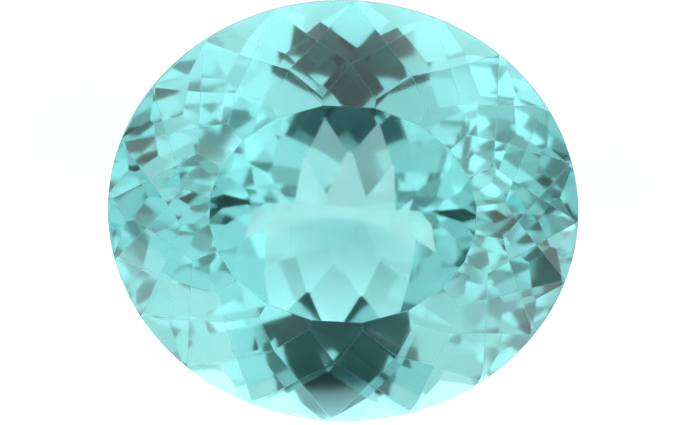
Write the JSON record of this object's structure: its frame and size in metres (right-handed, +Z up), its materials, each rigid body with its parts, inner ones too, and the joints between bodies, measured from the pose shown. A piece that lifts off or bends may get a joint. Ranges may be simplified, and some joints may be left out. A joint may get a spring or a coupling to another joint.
{
  "type": "oval faceted gemstone",
  "caption": "Loose oval faceted gemstone of clear blue-green tourmaline, a fancy brilliant cut, lying on a facet of its pavilion with its table tipped up.",
  "frame": {"origin": "on the surface the stone lies on, under the middle of its box", "axes": "+Z up, +X near the stone's long axis, -Y the way the tipped table leans towards the viewer"},
  "size_m": [0.014, 0.01, 0.0084],
  "materials": {
    "tourmaline": "polished clear crystal, refractive index 1.635, coloured by absorption in its body"
  },
  "bodies": {
    "root": {"gemstone": "tourmaline"}
  },
  "joints": []
}
